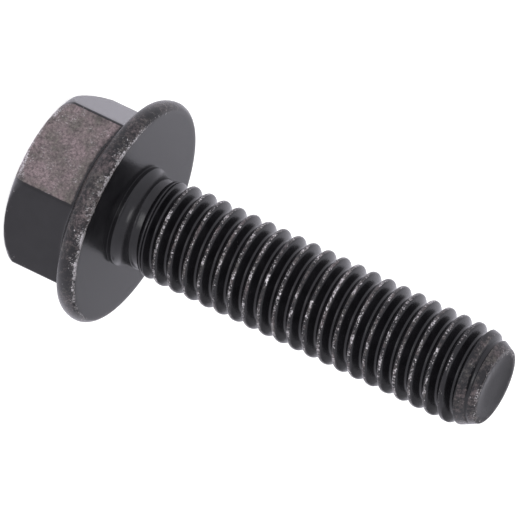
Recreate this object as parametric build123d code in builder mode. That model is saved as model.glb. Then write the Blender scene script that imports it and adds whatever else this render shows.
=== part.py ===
from build123d import *
import os
from math import cos, radians, sin, tan

# Flange bolt, M6 and 24 mm under the head, headed from one piece of wire. All
# lengths are in millimetres and all angles in degrees.
#
# Frame: the origin is the centre of the flange's bearing face, the face that is
# drawn down on the work. +Z runs along the shank to its tip, so the head lies
# below, and the bolt stands on the flat top of its hexagon. A corner of the
# hexagon points along +X.

# ---------------------------------------------------------------- dimensions
# Hexagon
across_flats = 10.0            # the spanner size
corner_radius = 0.25           # along the six upright corners
head_height = 5.9              # from the bearing face to the top of the hexagon
head_top_diameter = 9.4        # the round flat that the crown leaves
crown_depth = 1.1              # from the top to the crown's end on a corner
crown_slope = 20.0             # of the crown where it leaves the top

# Flange
flange_diameter = 13.8         # over the fullest part of the rim
bearing_face_diameter = 13.2
rim_height = 1.1               # from the bearing face to the foot of the slope
rim_top_diameter = 13.4
rim_bulge_height = 0.5         # where the rim is fullest
flange_slope = 25.5            # of the flange's upper side

# Shank
thread_diameter = 5.95         # over the crests of the thread
shank_length = 24.0            # from the bearing face to the tip
neck_diameter = 5.5            # the wire as it was before the thread was rolled
neck_fillet_radius = 0.65      # between the bearing face and the neck
run_out_start = 1.3            # height where the crests start to rise out of the neck
run_out_end = 2.6              # height where they reach their full size

# Tip, left hollow by the thread rolling
tip_diameter = 4.5
tip_chamfer_length = 1.3
tip_shoulder_radius = 1.0      # between the thread and the chamfer
tip_edge_radius = 0.12
dish_diameter = 3.9
dish_floor_diameter = 1.0
dish_depth = 0.12

# ------------------------------------------------------------ derived sizes
shank_radius = thread_diameter / 2
neck_radius = neck_diameter / 2
hexagon_reach = across_flats / 2 / cos(radians(30))  # to a sharp corner
cone_seat = 0.4 * across_flats                   # the slope ends inside the hexagon
cone_top = rim_height + (rim_top_diameter / 2 - cone_seat) * tan(radians(flange_slope))

# ------------------------------------------------------------------ hexagon
# A round die turns the hexagon's upper corners down into a crown.
with BuildPart() as hexagon:
    with BuildSketch(Plane.XY.offset(-head_height)) as hexagon_outline:
        RegularPolygon(across_flats / 2, 6, major_radius=False)
        fillet(hexagon_outline.vertices(), corner_radius)
    extrude(amount=head_height - rim_height)
    with BuildSketch(Plane.XZ):
        with BuildLine():
            Polyline((0, -rim_height), (0, -head_height), (head_top_diameter / 2, -head_height))
            TangentArc(
                (head_top_diameter / 2, -head_height),
                (hexagon_reach, crown_depth - head_height),
                tangent=(cos(radians(crown_slope)), sin(radians(crown_slope))),
            )
            Polyline(
                (hexagon_reach, crown_depth - head_height),
                (hexagon_reach, -rim_height),
                (0, -rim_height),
            )
        make_face()
    revolve(axis=Axis.Z, mode=Mode.INTERSECT)

# --------------------------------------------------------------------- bolt
# Flange, neck, shank and tip are one turned outline. It is drawn from the axis
# inside the head, round the rim, and along the shank to the hollow tip.
with BuildPart() as flange_bolt:
    with BuildSketch(Plane.XZ):
        with BuildLine():
            Polyline((0, -cone_top), (cone_seat, -cone_top), (rim_top_diameter / 2, -rim_height))
            rim_bulge = (flange_diameter / 2, -rim_bulge_height)
            TangentArc(rim_bulge, (rim_top_diameter / 2, -rim_height), tangent=(0, -1))
            TangentArc(rim_bulge, (bearing_face_diameter / 2, 0), tangent=(0, 1))
            Line((bearing_face_diameter / 2, 0), (neck_radius + neck_fillet_radius, 0))
            RadiusArc(
                (neck_radius + neck_fillet_radius, 0),
                (neck_radius, neck_fillet_radius),
                neck_fillet_radius,
            )
            FilletPolyline(
                (neck_radius, neck_fillet_radius),
                (neck_radius, run_out_start),
                (shank_radius, run_out_end),
                (shank_radius, shank_length - tip_chamfer_length),
                (tip_diameter / 2, shank_length),
                (dish_diameter / 2, shank_length),
                radius=(0, 0, tip_shoulder_radius, tip_edge_radius),
            )
            dish_floor = (dish_floor_diameter / 2, shank_length - dish_depth)
            TangentArc(dish_floor, (dish_diameter / 2, shank_length), tangent=(1, 0))
            Polyline(dish_floor, (0, shank_length - dish_depth), (0, -cone_top))
        make_face()
    revolve(axis=Axis.Z)
    add(hexagon.part)

flange_bolt.part.label = "flange_bolt"
os.makedirs("parts", exist_ok=True)
export_step(flange_bolt.part, "parts/flange_bolt.step")
print("volume", round(flange_bolt.part.volume, 1), "faces", len(flange_bolt.faces()))
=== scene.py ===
# %% [markdown]
# # A flange bolt
#
# The bolt is one piece of steel wire. A header squeezes one end into a hexagon with a wide round
# flange under it, and two flat dies roll the thread onto the rest. It is then phosphated, which
# leaves a thin grey-black skin that wears off along the edges.
#
# The CAD model gives its place and size: the origin is the centre of the flange's bearing face, +Z
# runs along the shank to the tip, and the bolt stands on its head. Everything here is made in
# millimetres and scaled to metres at the end, so the numbers read like a drawing's.

# %% Load the frame
from math import acos, atan2, cos, hypot, pi, radians, sin, sqrt, tan, tau

import bmesh
import bpy
from mathutils import Matrix, Vector, noise


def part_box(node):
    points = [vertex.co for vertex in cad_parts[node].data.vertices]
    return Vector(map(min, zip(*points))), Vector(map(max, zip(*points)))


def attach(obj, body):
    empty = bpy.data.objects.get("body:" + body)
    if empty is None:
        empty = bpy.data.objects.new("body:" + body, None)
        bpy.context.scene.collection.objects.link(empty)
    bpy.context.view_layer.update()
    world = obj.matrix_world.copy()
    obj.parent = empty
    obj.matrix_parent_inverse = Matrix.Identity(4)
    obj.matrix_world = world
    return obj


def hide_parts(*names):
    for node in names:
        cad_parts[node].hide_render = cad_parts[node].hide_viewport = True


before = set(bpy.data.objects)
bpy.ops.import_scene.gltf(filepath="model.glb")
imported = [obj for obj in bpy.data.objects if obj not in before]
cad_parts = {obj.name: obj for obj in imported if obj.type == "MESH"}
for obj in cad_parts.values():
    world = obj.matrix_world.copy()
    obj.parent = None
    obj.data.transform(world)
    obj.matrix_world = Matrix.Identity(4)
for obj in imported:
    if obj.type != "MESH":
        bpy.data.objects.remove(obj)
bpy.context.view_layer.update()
MM = 0.001
tip_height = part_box("flange_bolt")[1][2] / MM
head_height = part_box("flange_bolt")[0][2] / MM
print("head top at", round(head_height, 2), "mm, tip at", round(tip_height, 2), "mm")

# %% [markdown]
# ## Sizes
#
# An M6 flange bolt has a 10 mm hexagon and a 1 mm thread pitch. The other sizes belong to the
# forged and rolled forms around these. Each one has a name here, and the cells below read it.

# %% Sizes of the bolt, in millimetres
ACROSS_FLATS = 10.0
CORNER_RADIUS = 0.25           # along the hexagon's six upright corners
HEAD_TOP_RADIUS = 4.7          # of the round flat on the head
CROWN_DEPTH = 1.1              # from the head's top to the crown's end at a sharp corner
CROWN_SLOPE = radians(20)      # of the crown where it leaves the flat
RIM_TOP_RADIUS = 6.7           # where the flange's slope meets its rim
RIM_TOP_HEIGHT = -1.1
RIM_RADIUS = 6.9               # where the rim is fullest
RIM_HEIGHT = -0.5
BEARING_RADIUS = 6.6
FLANGE_SLOPE = radians(25.5)
CREST_RADIUS = 3.0             # over the thread
ROOT_RADIUS = 2.47             # in its groove
NECK_RADIUS = 2.75             # of the wire as it was before the thread was rolled
NECK_FILLET = 0.86
NECK_FILLET_HEIGHT = 0.92      # where the fillet runs out into the neck
NECK_FOOT_RADIUS = 3.06        # where it ends below, in a small step on the bearing face
TIP_RADIUS = 2.3
TIP_CHAMFER = 1.3
DISH_RADIUS = 1.95
DISH_FLOOR_RADIUS = 0.5
DISH_DEPTH = 0.08
PITCH = 1.0
COLUMNS = 96                   # points round the bolt, a multiple of 6 for the hexagon

# %% [markdown]
# ## Rings and turned outlines
#
# The hexagon is made ring by ring: a closed ring of edges is extruded, and its new points are put
# where a rule says. The rest of a bolt is turned, so it is an outline spun round the axis. Both
# ways leave the same 96 columns of points, so neighbouring parts meet point on point, and merging
# doubles at the end joins them into one closed skin.

# %% Helpers for rings
def radius_of(place):
    return hypot(place.x, place.y)


def at_radius(place, radius, height):
    """The same direction from the axis, at another radius and height."""
    grow = radius / radius_of(place)
    return Vector((place.x * grow, place.y * grow, height))


def points_of(ring):
    """The points of a ring of edges, each once."""
    return {point for edge in ring for point in edge.verts}


def next_ring(bm, ring, rule):
    """Extrude a ring of edges, put each new point where rule(place) says, return the new ring."""
    grown = bmesh.ops.extrude_edge_only(bm, edges=ring)["geom"]
    new_ring = [item for item in grown if isinstance(item, bmesh.types.BMEdge) and item.is_boundary]
    for point in points_of(new_ring):
        point.co = rule(point.co)
    return new_ring


def soften(bm, ring, times):
    """Round an edge a little, by drawing its points towards their neighbours."""
    for _ in range(times):
        bmesh.ops.smooth_vert(
            bm, verts=list(points_of(ring)), factor=0.5, use_axis_x=True, use_axis_y=True,
            use_axis_z=True,
        )


# %% Helpers for turned outlines
def arc(centre, radius, start, end, steps):
    """Points (radius, height) along an arc between two angles, both ends included."""
    angles = [start + (end - start) * step / steps for step in range(steps + 1)]
    return [(centre[0] + radius * cos(angle), centre[1] + radius * sin(angle)) for angle in angles]


def add_skin(bm, other):
    """Move the skin of another bmesh into this one."""
    carrier = bpy.data.meshes.new("carrier")
    other.to_mesh(carrier)
    other.free()
    bm.from_mesh(carrier)
    bpy.data.meshes.remove(carrier)


def add_turned(bm, outline, soft_points=(), softness=0.0):
    """Spin an outline of (radius, height) once round the axis, some of its points rounded off."""
    turned = bmesh.new()
    points = [turned.verts.new((radius, 0, height)) for radius, height in outline]
    for pair in zip(points, points[1:]):
        turned.edges.new(pair)
    if soft_points:
        bmesh.ops.bevel(
            turned, geom=[points[number] for number in soft_points], offset=softness,
            affect="VERTICES", segments=3, profile=0.5, material=-1,
        )
    bmesh.ops.spin(
        turned, geom=turned.verts[:] + turned.edges[:], cent=(0, 0, 0), axis=(0, 0, 1), angle=tau,
        steps=COLUMNS, use_merge=True,
    )
    add_skin(bm, turned)


# %% [markdown]
# ## The hexagon
#
# The hexagon starts as a circle of six points. Bevelling its points rounds the corners with short
# edges, and the six flats are divided until there are 96 edges in all. This ring is then extruded
# upwards into the walls, over the crown and onto the flat top, and outwards down the flange's
# slope, where the points spread evenly into a circle.
#
# The crown is what a round die leaves: its height depends only on the distance from the axis, so
# it cuts deeper at the corners, and its lower edge rises and falls in six shallow waves.

# %% The crown's arc and the flange's slope, as heights over a radius
hexagon_reach = ACROSS_FLATS / 2 / cos(radians(30))
crown_chord = Vector((hexagon_reach - HEAD_TOP_RADIUS, CROWN_DEPTH))
crown_normal = Vector((-sin(CROWN_SLOPE), cos(CROWN_SLOPE)))
crown_arc_radius = crown_chord.length_squared / 2 / crown_chord.dot(crown_normal)
crown_centre = Vector((HEAD_TOP_RADIUS, head_height)) + crown_arc_radius * crown_normal


def crown_height(radius):
    return crown_centre.y - sqrt(crown_arc_radius ** 2 - (radius - crown_centre.x) ** 2)


def slope_height(radius):
    return RIM_TOP_HEIGHT - (RIM_TOP_RADIUS - radius) * tan(FLANGE_SLOPE)


print("the crown is an arc of", round(crown_arc_radius, 2), "mm")

# %% The hexagon's foot, a ring of 96 edges
CORNER_STEPS = 8               # edges round each of the hexagon's corners
bolt = bmesh.new()
bmesh.ops.create_circle(bolt, cap_ends=True, segments=6, radius=hexagon_reach)
bmesh.ops.rotate(bolt, verts=bolt.verts[:], matrix=Matrix.Rotation(radians(30), 3, "Z"))
bmesh.ops.bevel(
    bolt, geom=bolt.verts[:], offset=CORNER_RADIUS * tan(radians(30)), affect="VERTICES",
    segments=CORNER_STEPS, profile=0.5, material=-1,
)
flats = [edge for edge in bolt.edges if edge.calc_length() > ACROSS_FLATS / 4]
bmesh.ops.subdivide_edges(bolt, edges=flats, cuts=COLUMNS // 6 - CORNER_STEPS - 1)
bmesh.ops.delete(bolt, geom=bolt.faces[:], context="FACES_ONLY")
foot_ring = bolt.edges[:]
for point in bolt.verts:
    point.co.z = slope_height(radius_of(point.co))
print("the foot has", len(foot_ring), "edges")

# %% Walls and crown
WALL_SHARES = (0.02, 0.06, 0.2, 0.5, 0.8, 0.95, 0.985, 1.0)  # of the way up to the crown
CROWN_STEPS = 8
FLAT_RADII = (4.6, 4.45, 4.0, 2.5)                           # of the rings on the flat top


def on_wall(share):
    """A rule that puts points a share of the way from the foot to the crown."""
    def rule(place):
        foot, brow = slope_height(radius_of(place)), crown_height(radius_of(place))
        return Vector((place.x, place.y, foot + share * (brow - foot)))
    return rule


def over_crown(steps_left):
    """A rule that takes points one even step over the crown, towards the flat top."""
    def rule(place):
        radius = radius_of(place) + (HEAD_TOP_RADIUS - radius_of(place)) / steps_left
        return at_radius(place, radius, crown_height(radius))
    return rule


ring = foot_ring
for share in WALL_SHARES:
    ring = next_ring(bolt, ring, on_wall(share))
brow_ring = ring
for steps_left in range(CROWN_STEPS, 0, -1):
    ring = next_ring(bolt, ring, over_crown(steps_left))
flat_ring = ring
for radius in FLAT_RADII:
    ring = next_ring(bolt, ring, lambda place: at_radius(place, radius, head_height))
bmesh.ops.contextual_create(bolt, geom=ring)
print("walls, crown and top:", len(bolt.faces), "faces")

# %% The flange's slope
SLOPE_STEPS = 10


def down_slope(steps_left):
    """A rule that takes points one even step down the slope, towards the rim's circle."""
    def rule(place):
        radius = radius_of(place) + (RIM_TOP_RADIUS - radius_of(place)) / steps_left
        return at_radius(place, radius, slope_height(radius))
    return rule


def spread(ring, steps_left):
    """Turn each point of a ring one step towards its even place round the axis."""
    def angle(point):
        return (atan2(point.co.y, point.co.x) + 0.001) % tau - 0.001
    for number, point in enumerate(sorted(points_of(ring), key=angle)):
        turn = (number * tau / COLUMNS - angle(point)) / steps_left
        point.co.rotate(Matrix.Rotation(turn, 3, "Z"))


ring = foot_ring
for steps_left in range(SLOPE_STEPS, 0, -1):
    ring = next_ring(bolt, ring, down_slope(steps_left))
    spread(ring, steps_left)
soften(bolt, foot_ring, 1)
soften(bolt, brow_ring, 2)
soften(bolt, flat_ring, 2)
print("head and slope:", len(bolt.faces), "faces")

# %% [markdown]
# ## The rim, the bearing face and the neck
#
# The rim is squeezed outwards between the dies, so it is rounder above than below, with two arcs
# that meet where it is fullest. The bearing face is flat. The neck rises from it with a small
# step, and a fillet leads from the step into the plain wire. An outline of all this is spun once
# round the axis. Rings of points close to the step keep the shading of the flat face flat.

# %% The rim's two arcs
RIM_STEPS = 6


def arc_from_bulge(end):
    """The arc that leaves the rim's fullest point upright and ends at a point."""
    run, rise = RIM_RADIUS - end[0], end[1] - RIM_HEIGHT
    radius = (run ** 2 + rise ** 2) / 2 / run
    return arc((RIM_RADIUS - radius, RIM_HEIGHT), radius, 0, atan2(rise, radius - run), RIM_STEPS)


upper_rim = arc_from_bulge((RIM_TOP_RADIUS, RIM_TOP_HEIGHT))
lower_rim = arc_from_bulge((BEARING_RADIUS, 0))
print("the rim has", len(upper_rim) + len(lower_rim) - 1, "points")

# %% The neck's foot and fillet
FILLET_STEPS = 12
FOOT_SHARES = (0, 0.08, 0.5, 0.9)  # of the way up the small step under the fillet
fillet_axis = NECK_RADIUS + NECK_FILLET
foot_angle = acos((fillet_axis - NECK_FOOT_RADIUS) / NECK_FILLET) - pi
fillet = arc((fillet_axis, NECK_FILLET_HEIGHT), NECK_FILLET, foot_angle, -pi, FILLET_STEPS)
foot_height = fillet[0][1]
foot = [(NECK_FOOT_RADIUS, share * foot_height) for share in FOOT_SHARES]
print("the fillet ends", round(foot_height, 2), "mm over the bearing face")

# %% The turned part of the flange
THREAD_START = 0.95            # height of the plain ring that the thread grows from
BEARING_STEPS = (0.3, 1.2, 2.2)  # from the bearing face's edge in to its rings of points
FOOT_MARGIN = 0.02             # from its last ring to the neck, so that its shading stays flat
BEARING_EDGE_SOFTNESS = 0.06
bearing = [(BEARING_RADIUS - step, 0) for step in BEARING_STEPS]
bearing.append((NECK_FOOT_RADIUS + FOOT_MARGIN, 0))
flange_outline = upper_rim[::-1] + lower_rim[1:] + bearing + foot + fillet
flange_outline.append((NECK_RADIUS, THREAD_START))
bearing_edge = len(upper_rim) + len(lower_rim) - 2
add_turned(bolt, flange_outline, soft_points=(bearing_edge,), softness=BEARING_EDGE_SOFTNESS)
print("with the flange:", len(bolt.faces), "faces")

# %% [markdown]
# ## The thread
#
# A thread is an outline that climbs as it turns. The outline of one pitch runs from the middle of
# one groove to the middle of the next: 60 degrees between the flanks, a rounded root and a rounded
# crest. bmesh's spin takes dvec, a climb for every step, and the start of each turn lands on the
# end of the last, so merging doubles makes one continuous surface. The edges follow the crests and
# roots, which keeps them sharp with few points.

# %% The outline of one pitch
CREST_WIDTH = 0.22             # before its edges are rounded
ROOT_SOFTNESS = 0.05           # how far the rounding of a root's edges reaches
CREST_SOFTNESS = 0.08
FLANK_CUTS = 5
GROOVE_AT_X = 0.14             # height of a groove's middle where it crosses +X
flank_run = (CREST_RADIUS - ROOT_RADIUS) * tan(radians(30))
half_root = PITCH / 2 - CREST_WIDTH / 2 - flank_run
thread = bmesh.new()
pitch_outline = [
    (ROOT_RADIUS, 0.0),
    (ROOT_RADIUS, half_root),
    (CREST_RADIUS, PITCH / 2 - CREST_WIDTH / 2),
    (CREST_RADIUS, PITCH / 2),
    (CREST_RADIUS, PITCH / 2 + CREST_WIDTH / 2),
    (ROOT_RADIUS, PITCH - half_root),
    (ROOT_RADIUS, PITCH),
]
first_height = GROOVE_AT_X - PITCH
corners = [thread.verts.new((radius, 0, first_height + height)) for radius, height in pitch_outline]
for pair in zip(corners, corners[1:]):
    thread.edges.new(pair)
for pair, softness in (((1, 5), ROOT_SOFTNESS), ((2, 4), CREST_SOFTNESS)):
    bmesh.ops.bevel(
        thread, geom=[corners[number] for number in pair], offset=softness, affect="VERTICES",
        segments=3, profile=0.5, material=-1,
    )
flanks = [edge for edge in thread.edges if edge.calc_length() > flank_run]
bmesh.ops.subdivide_edges(thread, edges=flanks, cuts=FLANK_CUTS)
print("one pitch has", len(thread.edges), "edges")

# %% One turn, stacked along the shank
bmesh.ops.spin(
    thread, geom=thread.verts[:] + thread.edges[:], cent=(0, 0, 0), axis=(0, 0, 1), angle=tau,
    steps=COLUMNS, dvec=(0, 0, PITCH / COLUMNS),
)
one_turn = thread.verts[:] + thread.edges[:] + thread.faces[:]
turns = int(tip_height - first_height) + 1
for turn in range(1, turns):
    copy = bmesh.ops.duplicate(thread, geom=one_turn)["geom"]
    copied_points = [item for item in copy if isinstance(item, bmesh.types.BMVert)]
    bmesh.ops.translate(thread, verts=copied_points, vec=(0, 0, turn * PITCH))
bmesh.ops.remove_doubles(thread, verts=thread.verts[:], dist=0.003)
print(turns, "turns,", len(thread.faces), "faces")

# %% [markdown]
# ## The thread's two ends
#
# A rolled crest is metal that the dies squeezed up out of the groove beside it. Under the head the
# dies' teeth are ground down step by step, so there the groove gets a flat, rising floor, less
# metal is squeezed up, and the crests stay low and split along their middle, where the metal from
# both sides has not met. At the tip the crests follow the chamfer, and the last groove runs out on
# it. All this is a rule on the distance from the axis, made of ramps over the height. At the two
# ends the points are held at one height, so that they gather into plain rings.

# %% Ramps
def ramp(value, low, high):
    """0 below low, 1 above high, and an even rise between."""
    return min(max((value - low) / (high - low), 0), 1)


def fade(value, low, high):
    """A ramp that starts and ends smoothly."""
    share = ramp(value, low, high)
    return share * share * (3 - 2 * share)


# %% How far out and how far in the metal reaches at each height
CRESTS_RISE = (1.3, 2.6)       # heights between which the crests rise out of the neck
FLOOR_FALLS = (1.05, 2.15)     # and between which the groove's floor sinks to its full depth
FLOOR_RISES = (tip_height - 1.1, tip_height - 0.2)  # where the last groove runs out again
LAST_GROOVE_DEPTH = 0.1        # what is left of it on the tip's chamfer
SHOULDER_SOFTNESS = 0.2        # between the crests and the tip's chamfer
SHOULDER_RANGE = (12, 22)      # heights over which this softness grows to its full value
chamfer_slope = (CREST_RADIUS - TIP_RADIUS) / TIP_CHAMFER


def body_radius(height):
    """The radius over the crests, whether full or not."""
    over_crests = NECK_RADIUS + (CREST_RADIUS - NECK_RADIUS) * ramp(height, *CRESTS_RISE)
    chamfer = TIP_RADIUS + (tip_height - height) * chamfer_slope
    rounding = hypot(over_crests - chamfer, SHOULDER_SOFTNESS * fade(height, *SHOULDER_RANGE))
    return (over_crests + chamfer - rounding) / 2


def floor_radius(height):
    """The least radius that the dies' ground-down teeth leave."""
    floor = NECK_RADIUS + (ROOT_RADIUS - NECK_RADIUS) * ramp(height, *FLOOR_FALLS)
    last_floor = body_radius(height) - LAST_GROOVE_DEPTH
    return floor + (last_floor - floor) * fade(height, *FLOOR_RISES)


for height in (1.5, 12, 23.5):
    reach = round(floor_radius(height), 2), round(body_radius(height), 2)
    print("at", height, "mm the metal lies between the radii", *reach)

# %% Run-out, chamfer and plain ends
SEAM_DEPTH = 0.07              # of the split along a crest that is not full
SEAM_CLOSES = (1.8, 3.4)       # heights between which it closes
ROLLING_FAULTS = ((0.012, 1.3), (0.008, 6))  # how deep, and how many to a millimetre
THREAD_END = 23.86             # height of the last plain ring, on the tip's chamfer


def rolled_radius(place):
    """The thread's radius at a place, with its run-out, its chamfer and small faults of rolling."""
    formed = max(radius_of(place), floor_radius(place.z))
    from_crest = abs((place.z - GROOVE_AT_X - atan2(place.y, place.x) / tau) % PITCH - PITCH / 2)
    seam = SEAM_DEPTH * (1 - fade(place.z, *SEAM_CLOSES))
    seam *= 1 - ramp(from_crest, 0, CREST_WIDTH / 4)
    seam *= ramp(place.z, *CRESTS_RISE)
    uneven = sum(depth * noise.noise(place * scale) for depth, scale in ROLLING_FAULTS)
    return min(formed + min(uneven, 0), body_radius(place.z) - seam)


for point in thread.verts:
    column = round(atan2(point.co.y, point.co.x) / tau * COLUMNS)
    height = min(max(point.co.z, THREAD_START), THREAD_END)
    radius = rolled_radius(point.co) if height == point.co.z else body_radius(height)
    angle = column * tau / COLUMNS
    point.co = Vector((radius * cos(angle), radius * sin(angle), height))
bmesh.ops.remove_doubles(thread, verts=thread.verts[:], dist=0.0005)
add_skin(bolt, thread)
print("with the thread:", len(bolt.faces), "faces")

# %% [markdown]
# ## The tip
#
# Rolling draws the outside of the wire along a little further than its core, so the end face is
# left slightly hollow. It is turned like the rim, with the chamfer's edge rounded off.

# %% The tip, turned from the last plain ring to the axis
DISH_STEPS = 8
TIP_SOFTNESS = 0.07
dish_run = DISH_RADIUS - DISH_FLOOR_RADIUS
dish_arc_radius = (dish_run ** 2 + DISH_DEPTH ** 2) / 2 / DISH_DEPTH
dish = arc(
    (DISH_FLOOR_RADIUS, tip_height - DISH_DEPTH + dish_arc_radius), dish_arc_radius,
    -pi / 2 + atan2(dish_run, dish_arc_radius - DISH_DEPTH), -pi / 2, DISH_STEPS,
)
tip_outline = [
    (body_radius(THREAD_END), THREAD_END), (TIP_RADIUS, tip_height), *dish,
    (0, tip_height - DISH_DEPTH),
]
add_turned(bolt, tip_outline, soft_points=(1, 2), softness=TIP_SOFTNESS)
print("the dish is an arc of", round(dish_arc_radius, 1), "mm")

# %% Join the parts into one closed skin
bmesh.ops.remove_doubles(bolt, verts=bolt.verts[:], dist=0.001)
bmesh.ops.recalc_face_normals(bolt, faces=bolt.faces[:])
open_edges = [edge for edge in bolt.edges if len(edge.link_faces) != 2]
volume = round(bolt.calc_volume(), 1)
print(len(bolt.faces), "faces,", len(open_edges), "open edges,", volume, "mm3")

# %% [markdown]
# ## Where the skin wears
#
# Phosphate rubs off where bolts knock together in a bin: along the hexagon's corners and brow,
# which is the edge between the flats and the crown, on the rim and above all on its lower edge, on
# the thread's crests and on the tip. Every other flat is also rubbed all over. Two numbers are kept
# on each point. "knocked" is high on sharp edges, where the skin chips down to bright steel, and
# "rubbed" is high on exposed flat areas, where it only thins to a brown-grey. Each rule below
# returns both. It fades them over a short distance from the edge in question, so a pair of numbers
# here says where the fade starts and where it ends.

# %% Wear of the thread and the tip's chamfer
CREST_KNOCKS = 0.7
CREST_BAND = (CREST_RADIUS - 0.045, CREST_RADIUS - 0.01)  # radii
FULL_CRESTS = (1.6, 3.0)       # heights: below them the crests are too low to be knocked
CHAMFER_KNOCKS = 0.32
CHAMFER_BAND = (tip_height - TIP_CHAMFER - 0.2, tip_height - TIP_CHAMFER + 0.3)  # heights
OUT_OF_GROOVE = (-0.08, -0.02)  # from the chamfer's surface: what lies deeper is not touched


def thread_wear(radius, height):
    crest = fade(radius, *CREST_BAND) * fade(height, *FULL_CRESTS)
    on_chamfer = fade(height, *CHAMFER_BAND) * fade(radius - body_radius(height), *OUT_OF_GROOVE)
    return max(CREST_KNOCKS * crest, CHAMFER_KNOCKS * on_chamfer), max(crest, on_chamfer)


# %% Wear of the hexagon
BLACK_BROW_KNOCKS = 0.35       # along the brow of the flats that stayed black
MORE_BROW_KNOCKS = 0.5         # added along the brow of the worn flats
CORNER_KNOCKS = 0.5
WORN_FLAT_KNOCKS = 0.42
WORN_FLAT_RUB = 2.2            # far over 1, so that little black is left
BROW_RUB = 0.6
BROW_BAND = (0.08, 0.28)       # from the brow
CORNER_BAND = (hexagon_reach - 0.12, hexagon_reach - 0.04)  # radii
CORNER_LENGTH = (0.3, 1.6)     # from the brow
FOOT_BAND = (0.02, 0.15)       # from the flange's slope, where nothing reaches the flats
FLAT_SIDES = (0.02, 0.07)      # of the wave that is over 0 on every other flat
BROW_SIDES = (-0.1, 0.3)       # of the same wave, for the knocks along the brow


def hexagon_wear(radius, height, azimuth):
    from_brow = height - crown_height(min(radius, hexagon_reach))
    clear_of_foot = fade(slope_height(radius) - height, *FOOT_BAND)
    brow = 1 - fade(from_brow, *BROW_BAND)
    corner = fade(radius, *CORNER_BAND)
    corner *= 1 - fade(from_brow, *CORNER_LENGTH)
    every_other = cos(3 * azimuth + pi / 2)
    worn_flat = fade(every_other, *FLAT_SIDES) * clear_of_foot
    brow *= BLACK_BROW_KNOCKS + MORE_BROW_KNOCKS * fade(every_other, *BROW_SIDES)
    knocked = max(brow, CORNER_KNOCKS * corner, WORN_FLAT_KNOCKS * worn_flat)
    return knocked, max(WORN_FLAT_RUB * worn_flat, BROW_RUB * brow)


# %% Wear of the rim, partly a painted highlight on its lit side
# The side that faces the camera and the lamp gets more knocks, specks and rub: partly real wear,
# partly a painted highlight.
MOST_KNOCKED_AND_LIT_SIDE = (96, 5)    # its direction in degrees, from +X towards +Y, and how narrow it is
NEXT_KNOCKED_SIDE = (160, 4)   # where the lower edge has had some more knocks
SPECKLED_AND_LIT_SIDE = (110, 5)       # where specks reach up from the lower edge
EDGE_KNOCKS = 0.14             # along the lower edge, all round
EDGE_KNOCKS_LIT_SIDE = 0.85        # added on the most knocked side
EDGE_KNOCKS_NEXT = 0.62        # and on the next
SPECKS = 0.1                   # over the whole height of the rim, all round
MORE_SPECKS_AND_HIGHLIGHT = 0.56             # added on the speckled side
RIM_KNOCKS = 0.1               # the least that the rim has anywhere
RIM_RUB = 0.82
MORE_RIM_RUB_AND_HIGHLIGHT = 0.28            # added on the most knocked side
RIM_BAND = (RIM_TOP_RADIUS - 1.0, RIM_TOP_RADIUS - 0.3)  # radii
LOWER_EDGE_BAND = (0.02, 0.2)  # from the bearing face
SPECKS_BAND = (0.1, 0.9)


def towards(azimuth, direction, narrowness):
    """1 on the side of the bolt that faces a direction, falling to 0 on the other side."""
    return (0.5 + 0.5 * cos(azimuth - radians(direction))) ** narrowness


def rim_wear(radius, height, azimuth):
    """More knocks, specks and rub on the side facing the camera and lamp: partly wear, partly
    painted highlight.
    """
    outside = fade(radius, *RIM_BAND)
    most_and_lit, following = towards(azimuth, *MOST_KNOCKED_AND_LIT_SIDE), towards(azimuth, *NEXT_KNOCKED_SIDE)
    lower_edge = min(EDGE_KNOCKS + EDGE_KNOCKS_LIT_SIDE * most_and_lit + EDGE_KNOCKS_NEXT * following, 1)
    lower_edge *= 1 - fade(-height, *LOWER_EDGE_BAND)
    specks = SPECKS + MORE_SPECKS_AND_HIGHLIGHT * towards(azimuth, *SPECKLED_AND_LIT_SIDE)
    specks *= 1 - fade(-height, *SPECKS_BAND)
    rubbed = RIM_RUB + MORE_RIM_RUB_AND_HIGHLIGHT * most_and_lit
    return max(lower_edge, specks, RIM_KNOCKS) * outside, rubbed * outside


# %% The rule for the whole bolt
HEAD_TOP_WEAR = (0.2, 0.5)
TIP_EDGE_KNOCKS = 0.6
TIP_EDGE_BAND = (DISH_RADIUS - 0.2, DISH_RADIUS + 0.15)  # radii
TIP_FACE_RUB = 0.1
FACE_MARGIN = 0.1              # a flat face's wear ends this far inside its edge
CLOSE = 0.01                   # a point so close to a face belongs to it
SLOPE_MARGIN = 0.3             # from the rim's top to where the hexagon's rule starts
BEARING_DEPTH = 0.003          # the bearing face has no point deeper than this


def wear_at(place):
    """How knocked and how rubbed the bolt is at a place."""
    radius, height, azimuth = radius_of(place), place.z, atan2(place.y, place.x)
    if height > tip_height - DISH_DEPTH - CLOSE:
        edge = fade(radius, *TIP_EDGE_BAND)
        return TIP_EDGE_KNOCKS * edge, TIP_FACE_RUB + (1 - TIP_FACE_RUB) * edge
    if height > THREAD_START:
        return thread_wear(radius, height)
    if height < head_height + CLOSE and radius < HEAD_TOP_RADIUS - FACE_MARGIN:
        return HEAD_TOP_WEAR
    if height < RIM_TOP_HEIGHT - SLOPE_MARGIN and radius < hexagon_reach:
        return hexagon_wear(radius, height, azimuth)
    if height > -BEARING_DEPTH and radius < BEARING_RADIUS - FACE_MARGIN:
        return 0.0, 0.0
    return rim_wear(radius, height, azimuth)


# %% Two wear values on every point
CLEARLY_WORN = 0.3
knocked = bolt.verts.layers.float.new("knocked")
rubbed = bolt.verts.layers.float.new("rubbed")
for point in bolt.verts:
    point[knocked], point[rubbed] = wear_at(point.co)
for name, layer in (("knocked", knocked), ("rubbed", rubbed)):
    share = sum(point[layer] > CLEARLY_WORN for point in bolt.verts) / len(bolt.verts)
    print(round(100 * share), "% of the points are", name)

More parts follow.
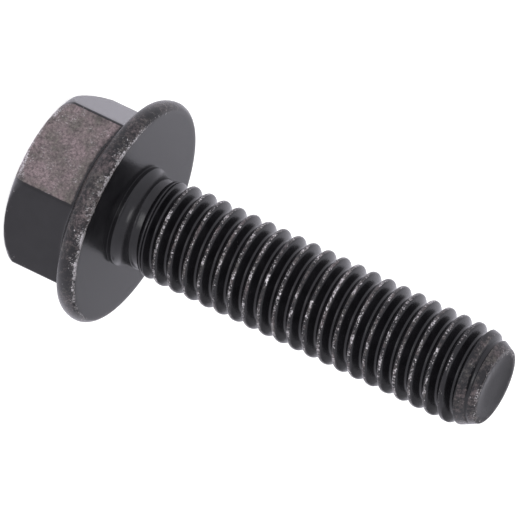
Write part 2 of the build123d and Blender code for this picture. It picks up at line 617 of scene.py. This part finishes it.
# %% The finished piece
bmesh.ops.scale(bolt, vec=(MM, MM, MM), verts=bolt.verts[:])
bolt_mesh = bpy.data.meshes.new("flange_bolt_steel")
bolt.to_mesh(bolt_mesh)
bolt.free()
bolt_mesh.polygons.foreach_set("use_smooth", [True] * len(bolt_mesh.polygons))
flange_bolt = bpy.data.objects.new("flange_bolt_steel", bolt_mesh)
bpy.context.scene.collection.objects.link(flange_bolt)
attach(flange_bolt, "root")
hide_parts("flange_bolt")
print("size in mm:", [round(side / MM, 2) for side in flange_bolt.dimensions])

# %% [markdown]
# ## The finish
#
# Phosphate soaked with oil is not a bare metal: it is nearly black and shines like a varnish, a
# little when seen straight on and a lot at a glancing angle. So the skin is a dark colour with no
# metallic at all, and Fresnel does the rest. Where it is rubbed it turns brown-grey and duller,
# and where it is knocked through, bright steel shows in specks. The material is built by the
# script, node by node, with a few helpers that add a node, link it and hand back its output.

# %% Node helpers
def add_node(tree, kind, **settings):
    node = tree.nodes.new(kind)
    for name, value in settings.items():
        setattr(node, name, value)
    return node


def link(tree, source, target):
    tree.links.new(source, target)


def math_node(tree, operation, first, second, clamp=False):
    """A math node on two values, each a socket or a number."""
    node = add_node(tree, "ShaderNodeMath", operation=operation, use_clamp=clamp)
    for number, value in enumerate((first, second)):
        if isinstance(value, (int, float)):
            node.inputs[number].default_value = value
        else:
            link(tree, value, node.inputs[number])
    return node.outputs[0]


def mix_colour(tree, share, first, second):
    """A mix of two colours, each a socket or three numbers."""
    node = add_node(tree, "ShaderNodeMix", data_type="RGBA")
    link(tree, share, node.inputs["Factor"])
    for name, value in (("A", first), ("B", second)):
        socket = next(s for s in node.inputs if s.name == name and s.type == "RGBA")
        if isinstance(value, tuple):
            socket.default_value = (*value, 1)
        else:
            link(tree, value, socket)
    return next(s for s in node.outputs if s.type == "RGBA")


def mix_value(tree, share, first, second):
    """A mix of two values, each a socket or a number."""
    node = add_node(tree, "ShaderNodeMix", data_type="FLOAT")
    link(tree, share, node.inputs["Factor"])
    for number, value in ((2, first), (3, second)):
        if isinstance(value, (int, float)):
            node.inputs[number].default_value = value
        else:
            link(tree, value, node.inputs[number])
    return node.outputs[0]


# %% [markdown]
# ## Wear that breaks up
#
# Wear never has a clean edge: the skin goes first in specks and patches. Both kinds of wear break
# up in the same way, so one node group makes the mask for both: noise that has to rise above a
# threshold, and the threshold sinks as the wear value climbs. A second, coarser noise makes some
# patches give way sooner.

# %% The wear group
WEAR_PULL = 0.35               # how far a wear value of 1 sinks the threshold
PATCH_PULL = 0.5               # how far a patch does
PATCH_SIZE = 0.15              # the grain's scale times this is the patches' scale
THRESHOLD = 1.02               # of an unworn place


def make_wear_group():
    tree = bpy.data.node_groups.new("worn through", "ShaderNodeTree")
    sockets = tree.interface
    sockets.new_socket("Place", in_out="INPUT", socket_type="NodeSocketVector")
    for name in ("Wear", "Grain", "Hardness"):
        sockets.new_socket(name, in_out="INPUT", socket_type="NodeSocketFloat")
    sockets.new_socket("Mask", in_out="OUTPUT", socket_type="NodeSocketFloat")
    given = add_node(tree, "NodeGroupInput")
    made = add_node(tree, "NodeGroupOutput")
    grain = add_node(tree, "ShaderNodeTexNoise")
    grain.inputs["Detail"].default_value = 4
    grain.inputs["Roughness"].default_value = 0.65
    link(tree, given.outputs["Place"], grain.inputs["Vector"])
    link(tree, given.outputs["Grain"], grain.inputs["Scale"])
    patches = add_node(tree, "ShaderNodeTexNoise")
    patches.inputs["Detail"].default_value = 2
    link(tree, given.outputs["Place"], patches.inputs["Vector"])
    patch_scale = math_node(tree, "MULTIPLY", given.outputs["Grain"], PATCH_SIZE)
    link(tree, patch_scale, patches.inputs["Scale"])
    uneven = math_node(tree, "MULTIPLY", patches.outputs["Fac"], PATCH_PULL)
    lowered = math_node(tree, "MULTIPLY", given.outputs["Wear"], WEAR_PULL)
    above = math_node(tree, "ADD", grain.outputs["Fac"], lowered)
    above = math_node(tree, "ADD", above, uneven)
    above = math_node(tree, "SUBTRACT", above, THRESHOLD)
    mask = math_node(tree, "MULTIPLY", above, given.outputs["Hardness"], clamp=True)
    link(tree, mask, made.inputs["Mask"])
    return tree


wear_group = make_wear_group()
print("the wear group has", len(wear_group.nodes), "nodes")

# %% [markdown]
# ## Phosphate, thinned phosphate and steel
#
# Two masks decide what shows. The soft one turns the skin into its thinned, brown-grey state, and
# the hard one cuts bright specks into both. All patterns read Object coordinates, scaled so that
# one unit is a millimetre, so they stay on the bolt wherever it is moved. The dark skin varies
# slowly in tone. The thinned skin has blotches of brown and grey, and a fine grit that makes both
# its dark pits and its relief.

# %% Masks and patterns
def wear_mask(tree, place, attribute, grain, hardness):
    """A wear group fed by one of the two wear values on the points."""
    value = add_node(tree, "ShaderNodeAttribute", attribute_name=attribute)
    group = add_node(tree, "ShaderNodeGroup", node_tree=wear_group)
    link(tree, place, group.inputs["Place"])
    link(tree, value.outputs["Fac"], group.inputs["Wear"])
    group.inputs["Grain"].default_value = grain
    group.inputs["Hardness"].default_value = hardness
    return group.outputs["Mask"]


def noise_value(tree, place, scale, detail, roughness=0.5):
    """A noise over the bolt, its features about 1 / scale millimetres wide."""
    node = add_node(tree, "ShaderNodeTexNoise")
    node.inputs["Scale"].default_value = scale
    node.inputs["Detail"].default_value = detail
    node.inputs["Roughness"].default_value = roughness
    link(tree, place, node.inputs["Vector"])
    return node.outputs["Fac"]


def spread_out(tree, value, low, high):
    """Stretch the part of a value between low and high to 0 and 1."""
    node = add_node(tree, "ShaderNodeMapRange")
    link(tree, value, node.inputs["Value"])
    node.inputs["From Min"].default_value = low
    node.inputs["From Max"].default_value = high
    return node.outputs["Result"]


# %% The phosphated steel and its patterns
phosphate = bpy.data.materials.new("phosphated steel")
phosphate.use_nodes = True
tree = phosphate.node_tree
surface = tree.nodes["Principled BSDF"]
coordinates = add_node(tree, "ShaderNodeTexCoord")
millimetres = add_node(tree, "ShaderNodeMapping")
millimetres.inputs["Scale"].default_value = (1 / MM, 1 / MM, 1 / MM)
link(tree, coordinates.outputs["Object"], millimetres.inputs["Vector"])
place = millimetres.outputs["Vector"]
thinned = wear_mask(tree, place, "rubbed", grain=4.0, hardness=1.8)
chipped = wear_mask(tree, place, "knocked", grain=10.0, hardness=7.0)
tone = noise_value(tree, place, scale=1.2, detail=3)
tone = spread_out(tree, tone, low=0.3, high=0.7)
blotches = noise_value(tree, place, scale=0.8, detail=6, roughness=0.65)
blotches = spread_out(tree, blotches, low=0.42, high=0.6)
grit = noise_value(tree, place, scale=6, detail=6, roughness=0.85)
grit = spread_out(tree, grit, low=0.36, high=0.6)
print("two masks and three patterns in", len(tree.nodes), "nodes")

# %% The finish's colours
DARK_SKIN = (0.005, 0.0048, 0.006)
LIGHT_SKIN = (0.013, 0.0125, 0.015)
WORN_DARK = (0.11, 0.087, 0.092)
WORN_BROWN = (0.46, 0.365, 0.37)
WORN_GREY = (0.26, 0.243, 0.213)
BRIGHT_STEEL = (0.66, 0.635, 0.635)
skin_colour = mix_colour(tree, tone, DARK_SKIN, LIGHT_SKIN)
brown_to_grey = mix_colour(tree, blotches, WORN_BROWN, WORN_GREY)
worn_colour = mix_colour(tree, grit, WORN_DARK, brown_to_grey)
colour = mix_colour(tree, thinned, skin_colour, worn_colour)
colour = mix_colour(tree, chipped, colour, BRIGHT_STEEL)
link(tree, colour, surface.inputs["Base Color"])
print("bright steel is", round(BRIGHT_STEEL[0] / DARK_SKIN[0]), "times as light as dark phosphate")

# %% The finish's shine and relief
GRIT_DEPTH = 0.02              # in millimetres
GRIT_UNDER_SKIN = 0.15         # the share of this depth that shows through unworn phosphate
BUMP_STRENGTH = 0.5
OILED_IOR = 1.45               # of the oil that soaks the phosphate


def by_wear(skin, worn, bright):
    """A value for the unworn skin, for the thinned one and for the bright specks."""
    return mix_value(tree, chipped, mix_value(tree, thinned, skin, worn), bright)


link(tree, by_wear(skin=0.0, worn=0.45, bright=0.9), surface.inputs["Metallic"])
link(tree, by_wear(skin=0.18, worn=0.5, bright=0.4), surface.inputs["Roughness"])
surface.inputs["IOR"].default_value = OILED_IOR
relief = math_node(tree, "MULTIPLY", grit, mix_value(tree, thinned, GRIT_UNDER_SKIN, 1.0))
bump = add_node(tree, "ShaderNodeBump")
bump.inputs["Strength"].default_value = BUMP_STRENGTH
bump.inputs["Distance"].default_value = GRIT_DEPTH * MM
link(tree, relief, bump.inputs["Height"])
link(tree, bump.outputs["Normal"], surface.inputs["Normal"])
bolt_mesh.materials.append(phosphate)
print("the finish has", len(tree.nodes), "nodes")

# %% [markdown]
# ## The camera
#
# The bolt is seen from far away through a long lens, from a little above the flange on the tip's
# side, and the camera is rolled until the shank points down to the right. From here on lengths
# are in metres, as everywhere in Blender, unless their comment says otherwise.

# %% Camera
CAMERA_AIM = Vector((0.000626, 0.000537, 0.008124))
CAMERA_DISTANCE = 0.599
CAMERA_AZIMUTH = radians(108.84)
CAMERA_ELEVATION = radians(19.28)
CAMERA_ROLL = radians(115.48)
LENS_LENGTH = 727              # in millimetres
SENSOR_WIDTH = 36              # in millimetres too


def way_to(azimuth, elevation):
    """The unit vector that points from the bolt in a direction."""
    return Vector((cos(elevation) * cos(azimuth), cos(elevation) * sin(azimuth), sin(elevation)))


def put_at(thing, aim, way, distance, roll=0):
    """Put a camera or a lamp some way off a point and make it look at the point."""
    turned = way.to_track_quat("Z", "Y").to_matrix() @ Matrix.Rotation(roll, 3, "Z")
    thing.matrix_world = Matrix.Translation(aim + distance * way) @ turned.to_4x4()
    bpy.context.scene.collection.objects.link(thing)


lens = bpy.data.cameras.new("camera")
lens.lens = LENS_LENGTH
lens.sensor_width = SENSOR_WIDTH
lens.clip_start = 0.01
camera = bpy.data.objects.new("camera", lens)
camera_way = way_to(CAMERA_AZIMUTH, CAMERA_ELEVATION)
put_at(camera, CAMERA_AIM, camera_way, CAMERA_DISTANCE, CAMERA_ROLL)
bpy.context.scene.camera = camera
view_width = CAMERA_DISTANCE / MM * SENSOR_WIDTH / LENS_LENGTH
print("the picture is", round(view_width, 1), "mm wide at the bolt")

# %% [markdown]
# ## Floor and light
#
# A black part is shown by what it reflects, so it stands in a plain white surround, as in a light
# tent: a white world, a white floor and one soft lamp beside the camera. The floor glows, but only
# for the camera and in reflections. So it fills the picture's background and shows in the metal,
# and the bolt's own shadow still falls on it. Light Path tells these rays from the others.

# %% Helpers for the stage
STAGE_ROUGHNESS = 0.9


def ray_kinds(tree):
    """Two values: 1 for what is seen straight or through glass, and 1 for what is mirrored."""
    ray = add_node(tree, "ShaderNodeLightPath")
    camera_ray, glass_ray = ray.outputs["Is Camera Ray"], ray.outputs["Is Transmission Ray"]
    return math_node(tree, "ADD", camera_ray, glass_ray), ray.outputs["Is Glossy Ray"]


def matt(name):
    """A new material without shine, and its surface node."""
    material = bpy.data.materials.new(name)
    material.use_nodes = True
    surface = material.node_tree.nodes["Principled BSDF"]
    surface.inputs["Roughness"].default_value = STAGE_ROUGHNESS
    surface.inputs["Specular IOR Level"].default_value = 0
    return material, surface


def flat_sheet(name, half_size, height, material):
    """A flat, level square for the studio."""
    sheet_form = bmesh.new()
    bmesh.ops.create_grid(sheet_form, x_segments=1, y_segments=1, size=half_size)
    bmesh.ops.translate(sheet_form, verts=sheet_form.verts[:], vec=(0, 0, height))
    sheet_mesh = bpy.data.meshes.new(name)
    sheet_form.to_mesh(sheet_mesh)
    sheet_form.free()
    sheet_mesh.materials.append(material)
    sheet = bpy.data.objects.new(name, sheet_mesh)
    bpy.context.scene.collection.objects.link(sheet)
    return sheet


# %% Floor
FLOOR_HALF = 1.0
FLOOR_WHITE = (0.6, 0.6, 0.6)
MIRRORED_FLOOR = (0.15, 0.15, 0.15)  # darker, so that its shadow hardly shows in the metal
FLOOR_GLOW = 0.9
MIRRORED_GLOW = 0.95
MIRRORED_FLOOR_TINT = (0.98, 0.95, 1.06)
white, surface = matt("white floor")
tree = white.node_tree
seen, mirrored = ray_kinds(tree)
base = mix_colour(tree, mirrored, FLOOR_WHITE, MIRRORED_FLOOR)
link(tree, base, surface.inputs["Base Color"])
glow = math_node(tree, "MULTIPLY", seen, FLOOR_GLOW)
mirrored_glow = math_node(tree, "MULTIPLY", mirrored, MIRRORED_GLOW)
link(tree, math_node(tree, "ADD", glow, mirrored_glow), surface.inputs["Emission Strength"])
glow_colour = mix_colour(tree, mirrored, (1, 1, 1), MIRRORED_FLOOR_TINT)
link(tree, glow_colour, surface.inputs["Emission Color"])
floor = flat_sheet("floor", FLOOR_HALF, head_height * MM, white)
print("the floor lies at", round(head_height, 2), "mm")

# %% [markdown]
# ## A card for the reflections
#
# The tip's face and one side of the bearing face would mirror pure white. A grey card stands
# behind the bolt, where these faces look, and takes the glare off them. Only reflections see it:
# the camera doesn't, and it throws no shadow.

# %% Grey card
CARD_HALF = 0.06
CARD_DISTANCE = 0.1            # behind the bolt
CARD_EDGE = -0.006             # from the bolt's axis to the card's near edge, past the axis
CARD_FOOT = 0.035              # over the bearing face
CARD_GREY = (0.57, 0.56, 0.61)
grey, surface = matt("grey card")
surface.inputs["Base Color"].default_value = (*CARD_GREY, 1)
card = flat_sheet("grey card", CARD_HALF, 0, grey)
card.visible_camera = False
card.visible_diffuse = False
card.visible_shadow = False
up = Vector((0, 0, 1))
behind = -way_to(CAMERA_AZIMUTH, 0)
beside = behind.cross(up)
facing = Matrix((beside, up, -behind)).transposed()
card_centre = behind * CARD_DISTANCE
card_centre += beside * (CARD_HALF + CARD_EDGE) + up * (CARD_FOOT + CARD_HALF)
card.matrix_world = Matrix.Translation(card_centre) @ facing.to_4x4()
print("the card's centre is", round(card_centre.length / MM), "mm from the bearing face's")

# %% [markdown]
# ## World and lamp
#
# The world is the tent itself. It lights the bolt a little less than white, fills the background
# with white, and shows in the metal as white with the dark opening on top. The lamp is wide and
# soft. It stands beside the camera, a little lower, and lights what faces the camera.

# %% World
WORLD_LIGHT = 0.7
MIRRORED_WORLD_TINT = (0.98, 0.965, 1.06)
OPENING_EDGE = radians(25)     # from straight up: where the tent's opening starts to show
OPENING_FULL = radians(16)     # and where it has its full darkness
OPENING_LIGHT = 0.1
world = bpy.data.worlds.new("studio")
bpy.context.scene.world = world
world.use_nodes = True
tree = world.node_tree
sky = tree.nodes["Background"]
seen, mirrored = ray_kinds(tree)
sky_colour = mix_colour(tree, mirrored, (1, 1, 1), MIRRORED_WORLD_TINT)
link(tree, sky_colour, sky.inputs["Color"])
directions = add_node(tree, "ShaderNodeTexCoord")
upward = add_node(tree, "ShaderNodeSeparateXYZ")
link(tree, directions.outputs["Generated"], upward.inputs["Vector"])
opening = spread_out(tree, upward.outputs["Z"], cos(OPENING_EDGE), cos(OPENING_FULL))
mirrored_light = mix_value(tree, opening, 1.0, OPENING_LIGHT)
plain_light = mix_value(tree, seen, WORLD_LIGHT, 1.0)
strength = mix_value(tree, mirrored, plain_light, mirrored_light)
link(tree, strength, sky.inputs["Strength"])
print("the world lights the bolt at", WORLD_LIGHT)

# %% Lamp
LAMP_DISTANCE = 0.7
LAMP_AZIMUTH = radians(114)
LAMP_ELEVATION = radians(5)
LAMP_WIDTH = 0.4
LAMP_HEIGHT = 0.2
LAMP_POWER = 0.6
soft_lamp = bpy.data.lights.new("soft lamp", "AREA")
soft_lamp.shape = "ELLIPSE"
soft_lamp.size = LAMP_WIDTH
soft_lamp.size_y = LAMP_HEIGHT
soft_lamp.energy = LAMP_POWER
lamp = bpy.data.objects.new("soft lamp", soft_lamp)
put_at(lamp, CAMERA_AIM, way_to(LAMP_AZIMUTH, LAMP_ELEVATION), LAMP_DISTANCE)
bpy.context.scene.view_settings.view_transform = "Standard"
print("one lamp of", LAMP_POWER, "W")
